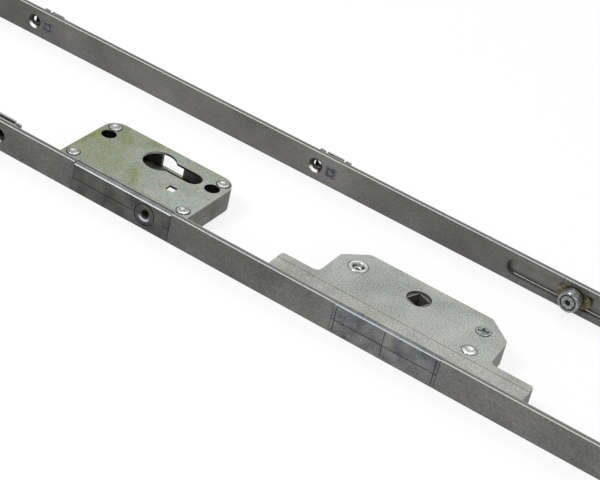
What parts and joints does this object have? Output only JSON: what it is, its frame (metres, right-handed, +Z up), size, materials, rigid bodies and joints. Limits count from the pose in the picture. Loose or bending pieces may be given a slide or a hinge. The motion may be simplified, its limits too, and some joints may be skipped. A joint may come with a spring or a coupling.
{
  "type": "multipoint door lock",
  "caption": "Multipoint door lock: faceplate strip with cylinder case, spindle gearbox, sliding drive rod and roller cam, plus a matching extension strip.",
  "frame": {"origin": "on the spindle axis, half way up the case", "axes": "+X along the strips, from the cylinder case to the gearbox; +Y from the faceplate into the door; +Z up, along the spindle"},
  "size_m": [0.67, 0.1169, 0.016],
  "materials": {
    "faceplate_steel": "dark satin coating on steel",
    "rod_steel": "zinc-plated steel",
    "guide_zinc": "bare zinc die-casting",
    "pad_plastic": "black plastic",
    "rivet_steel": "zinc-plated steel",
    "case_passivated": "yellow-green passivated steel",
    "case_side": "dark grey zinc casting",
    "cover_zinc": "dark blue-grey coating",
    "gearbox_zinc": "speckled zinc plating",
    "hub_steel": "sintered steel",
    "washer_plastic": "natural plastic",
    "spring_steel": "spring steel",
    "base_brass": "yellow passivated",
    "roller_steel": "turned steel"
  },
  "bodies": {
    "frame": {"main_faceplate_left": "faceplate_steel", "main_faceplate_middle": "faceplate_steel", "main_faceplate_right": "faceplate_steel", "main_guide_left": "guide_zinc", "main_guide_right": "guide_zinc", "main_pad_left": "pad_plastic", "main_pad_right": "pad_plastic", "main_guide_rivets": "rivet_steel", "cylinder_case_lower": "case_side", "cylinder_case_upper": "case_passivated", "cylinder_case_rivets": "rivet_steel", "cylinder_front_cover": "cover_zinc", "cylinder_screw_block": "case_side", "slide_guide_pins": "rivet_steel", "slide_spring": "spring_steel", "gearbox_shell": "gearbox_zinc", "gearbox_cover": "gearbox_zinc", "gearbox_front_cover": "cover_zinc", "gearbox_eyelet": "rivet_steel", "gearbox_cross_stud": "rivet_steel", "gearbox_rivet": "rivet_steel", "hub_washers": "washer_plastic", "extension_faceplate": "faceplate_steel", "extension_guide_outer": "guide_zinc", "extension_guide_middle": "guide_zinc", "extension_guide_right": "guide_zinc", "extension_pad_outer": "pad_plastic", "extension_pad_middle": "pad_plastic", "extension_pad_right": "pad_plastic", "extension_guide_rivets": "rivet_steel"},
    "hub": {"spindle_hub": "hub_steel"},
    "main_rod": {"main_drive_rod": "rod_steel", "rack_slide": "hub_steel", "main_roller_base": "base_brass"},
    "main_pin": {"main_eccentric_pin": "roller_steel"},
    "main_roller": {"main_roller": "roller_steel"},
    "locking_slide": {"locking_slide": "rod_steel"},
    "grub_screw": {"cylinder_grub_screw": "hub_steel"},
    "extension_rod": {"extension_drive_rod": "rod_steel", "extension_roller_base": "base_brass"},
    "extension_pin": {"extension_eccentric_pin": "roller_steel"},
    "extension_roller": {"extension_roller": "roller_steel"}
  },
  "joints": [
    {"name": "hub_turn", "type": "hinge", "parent": "frame", "child": "hub", "pos_m": [0, 0, 0], "axis": [0, 0, 1], "range_deg": [-70.2, 110.2]},
    {"name": "main_rod_slide", "type": "slide", "parent": "frame", "child": "main_rod", "axis": [1, 0, 0], "range_m": [-0.01244, 0.01955]},
    {"name": "main_pin_turn", "type": "hinge", "parent": "main_rod", "child": "main_pin", "pos_m": [0.265, -0.035, 0], "axis": [0, 1, 0], "range_deg": [-90, 90]},
    {"name": "main_roller_spin", "type": "hinge", "parent": "main_pin", "child": "main_roller", "pos_m": [0.2656, -0.035, 0], "axis": [0, 1, 0], "continuous": true},
    {"name": "locking_slide_move", "type": "slide", "parent": "frame", "child": "locking_slide", "axis": [0, -1, 0], "range_m": [0, 0.0025]},
    {"name": "grub_screw_feed", "type": "slide", "parent": "frame", "child": "grub_screw", "axis": [0, 1, 0], "range_m": [0, 0.003]},
    {"name": "extension_rod_slide", "type": "slide", "parent": "frame", "child": "extension_rod", "axis": [1, 0, 0], "range_m": [-0.0124, 0.0195]},
    {"name": "extension_pin_turn", "type": "hinge", "parent": "extension_rod", "child": "extension_pin", "pos_m": [0.0484, 0.067, 0], "axis": [0, 1, 0], "range_deg": [-90, 90]},
    {"name": "extension_roller_spin", "type": "hinge", "parent": "extension_pin", "child": "extension_roller", "pos_m": [0.049, 0.067, 0], "axis": [0, 1, 0], "continuous": true}
  ],
  "couplings": [
    {"joint": "hub_turn", "follows": "main_rod_slide", "rad_per_m": 98.175}
  ]
}
